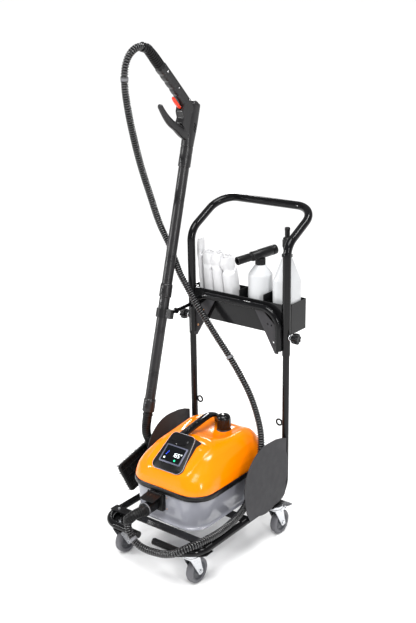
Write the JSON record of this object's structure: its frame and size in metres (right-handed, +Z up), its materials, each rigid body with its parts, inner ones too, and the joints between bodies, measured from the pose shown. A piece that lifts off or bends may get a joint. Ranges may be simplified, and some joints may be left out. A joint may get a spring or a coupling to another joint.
{
  "type": "garment steamer",
  "caption": "Steam cleaner on a wheeled trolley with steam gun, wand, floor brush, corrugated hose, cloth and bottle tray.",
  "frame": {"origin": "on the floor, at the centre of the footprint without the hose", "axes": "+Z up, -Y towards the front of the machine, +X to the right as seen from the front"},
  "size_m": [0.5322, 0.6952, 1.5554],
  "materials": {
    "black_gloss": "gloss black powder coat",
    "plate_grey": "satin dark grey powder coat",
    "black_plastic": "black moulded plastic",
    "black_rubber": "black rubber",
    "knob_plastic": "black moulded knob on a steel stud",
    "copper_screw": "copper-coloured screws",
    "zinc": "bright zinc-plated steel",
    "caster_tyre": "grey rubber tyre on a grey plastic hub",
    "pedal_grey": "grey moulded plastic",
    "silver_shell": "gloss silver-grey plastic",
    "orange_shell": "gloss orange plastic",
    "screen_glass": "dark screen in a grey bezel",
    "gloss_black": "gloss black plastic",
    "neck_plastic": "grey plastic",
    "seal_rubber": "black rubber seal",
    "boiler_steel": "stainless steel",
    "pump_plastic": "dark plastic",
    "valve_brass": "brass",
    "circuit_board": "green circuit board",
    "wand_plastic": "satin dark grey plastic",
    "trigger_red": "red plastic",
    "bright_screw": "bright steel",
    "button_black": "black plastic",
    "white_cloth": "white microfibre cloth",
    "bottle_plastic": "translucent white plastic with black fittings",
    "hose_black": "black corrugated hose"
  },
  "bodies": {
    "trolley": {"side_tube_left": "black_gloss", "side_tube_right": "black_gloss", "tube_end_plugs": "black_plastic", "cross_bars": "black_gloss", "caster_plates": "black_gloss", "side_plate_left": "plate_grey", "side_plate_right": "plate_grey", "handle_tube": "black_gloss", "tool_arch": "black_gloss", "gussets": "plate_grey", "tray": "black_gloss", "frame_screws": "copper_screw", "clip_rod": "black_gloss", "wand_clip": "black_plastic", "lower_shell": "silver_shell", "belt_band": "black_rubber", "top_shell": "orange_shell", "console": "black_plastic", "display": "screen_glass", "carry_handle": "gloss_black", "filler_neck": "neck_plastic", "steam_socket": "black_plastic", "hose_plug": "black_rubber", "boiler": "boiler_steel", "water_pump": "pump_plastic", "steam_valve": "valve_brass", "control_board": "circuit_board", "mains_inlet": "black_plastic", "machine_screws": "copper_screw", "gun_shell_left": "wand_plastic", "gun_shell_right": "wand_plastic", "gun_screws": "bright_screw", "gun_cuff": "black_rubber", "wand_tube_upper": "wand_plastic", "wand_tube_lower": "wand_plastic", "elbow": "black_plastic", "cloths": "white_cloth", "hose": "hose_black"},
    "fork_fl": {"caster_fork_fl": "zinc"},
    "wheel_fl": {"caster_wheel_fl": "caster_tyre"},
    "fork_fr": {"caster_fork_fr": "zinc"},
    "wheel_fr": {"caster_wheel_fr": "caster_tyre"},
    "fork_rl": {"caster_fork_rl": "zinc"},
    "wheel_rl": {"caster_wheel_rl": "caster_tyre"},
    "fork_rr": {"caster_fork_rr": "zinc"},
    "wheel_rr": {"caster_wheel_rr": "caster_tyre"},
    "pedal_left": {"brake_pedal_left": "pedal_grey"},
    "pedal_right": {"brake_pedal_right": "pedal_grey"},
    "knob_left": {"clamp_knob_left": "knob_plastic"},
    "knob_right": {"clamp_knob_right": "knob_plastic"},
    "cap_seal": {"cap_seal": "seal_rubber"},
    "cap": {"filler_cap": "gloss_black"},
    "flap": {"socket_flap": "black_plastic"},
    "trigger": {"gun_trigger": "trigger_red"},
    "button_lower": {"release_button_lower": "button_black"},
    "button_middle": {"release_button_middle": "button_black"},
    "button_upper": {"release_button_upper": "button_black"},
    "brush": {"brush_head": "black_plastic"},
    "spray_bottle": {"spray_bottle": "bottle_plastic"},
    "dosing_bottle": {"dosing_bottle": "bottle_plastic"}
  },
  "joints": [
    {"name": "swivel_fl", "type": "hinge", "parent": "trolley", "child": "fork_fl", "pos_m": [-0.125, -0.268, 0.112], "axis": [0, 0, 1], "continuous": true},
    {"name": "spin_fl", "type": "hinge", "parent": "fork_fl", "child": "wheel_fl", "pos_m": [-0.125, -0.243, 0.04], "axis": [1, 0, 0], "continuous": true},
    {"name": "swivel_fr", "type": "hinge", "parent": "trolley", "child": "fork_fr", "pos_m": [0.163, -0.268, 0.112], "axis": [0, 0, 1], "continuous": true},
    {"name": "spin_fr", "type": "hinge", "parent": "fork_fr", "child": "wheel_fr", "pos_m": [0.163, -0.243, 0.04], "axis": [1, 0, 0], "continuous": true},
    {"name": "swivel_rl", "type": "hinge", "parent": "trolley", "child": "fork_rl", "pos_m": [-0.167, 0.116, 0.112], "axis": [0, 0, 1], "continuous": true},
    {"name": "spin_rl", "type": "hinge", "parent": "fork_rl", "child": "wheel_rl", "pos_m": [-0.167, 0.141, 0.04], "axis": [1, 0, 0], "continuous": true},
    {"name": "swivel_rr", "type": "hinge", "parent": "trolley", "child": "fork_rr", "pos_m": [0.205, 0.116, 0.112], "axis": [0, 0, 1], "continuous": true},
    {"name": "spin_rr", "type": "hinge", "parent": "fork_rr", "child": "wheel_rr", "pos_m": [0.205, 0.141, 0.04], "axis": [1, 0, 0], "continuous": true},
    {"name": "brake_left", "type": "hinge", "parent": "fork_rl", "child": "pedal_left", "pos_m": [-0.167, 0.147, 0.092], "axis": [-1, 0, 0], "range_deg": [0, 10], "stiffness_Nm_per_rad": 0.5},
    {"name": "brake_right", "type": "hinge", "parent": "fork_rr", "child": "pedal_right", "pos_m": [0.205, 0.147, 0.092], "axis": [-1, 0, 0], "range_deg": [0, 10], "stiffness_Nm_per_rad": 0.5},
    {"name": "knob_left_turn", "type": "hinge", "parent": "trolley", "child": "knob_left", "pos_m": [-0.167, 0.171, 0.673], "axis": [-1, 0, 0], "range_deg": [0, 720]},
    {"name": "knob_right_turn", "type": "hinge", "parent": "trolley", "child": "knob_right", "pos_m": [0.205, 0.171, 0.673], "axis": [1, 0, 0], "range_deg": [0, 720]},
    {"name": "cap_lift", "type": "slide", "parent": "trolley", "child": "cap_seal", "axis": [0, 0, 1], "range_m": [0, 0.0046]},
    {"name": "cap_turn", "type": "hinge", "parent": "cap_seal", "child": "cap", "pos_m": [0.038, 0.065, 0.367], "axis": [0, 0, 1], "range_deg": [0, 540]},
    {"name": "flap_hinge", "type": "hinge", "parent": "trolley", "child": "flap", "pos_m": [-0.006, -0.228, 0.2375], "axis": [-1, 0, 0], "range_deg": [0, 75]},
    {"name": "trigger_pull", "type": "hinge", "parent": "trolley", "child": "trigger", "pos_m": [-0.213, 0.191, 1.352], "axis": [-1, 0, 0], "range_deg": [0, 6], "stiffness_Nm_per_rad": 2},
    {"name": "button_lower_press", "type": "slide", "parent": "trolley", "child": "button_lower", "axis": [0, 0.9636, -0.2672], "range_m": [0, 0.0015], "stiffness_N_per_m": 300},
    {"name": "button_middle_press", "type": "slide", "parent": "trolley", "child": "button_middle", "axis": [0, 0.9636, -0.2672], "range_m": [0, 0.0015], "stiffness_N_per_m": 300},
    {"name": "button_upper_press", "type": "slide", "parent": "trolley", "child": "button_upper", "axis": [0, 0.9636, -0.2672], "range_m": [0, 0.0015], "stiffness_N_per_m": 300},
    {"name": "brush_swivel", "type": "hinge", "parent": "trolley", "child": "brush", "pos_m": [-0.20437, -0.01717, 0.24375], "axis": [0, 0.9703, 0.2419], "range_deg": [0, 15]},
    {"name": "spray_bottle_lift", "type": "slide", "parent": "trolley", "child": "spray_bottle", "axis": [0, 0, 1], "range_m": [0, 0.12]},
    {"name": "dosing_bottle_lift", "type": "slide", "parent": "trolley", "child": "dosing_bottle", "axis": [0, 0, 1], "range_m": [0, 0.08]}
  ],
  "couplings": [
    {"joint": "cap_lift", "follows": "cap_turn", "m_per_rad": 0.00047746}
  ]
}
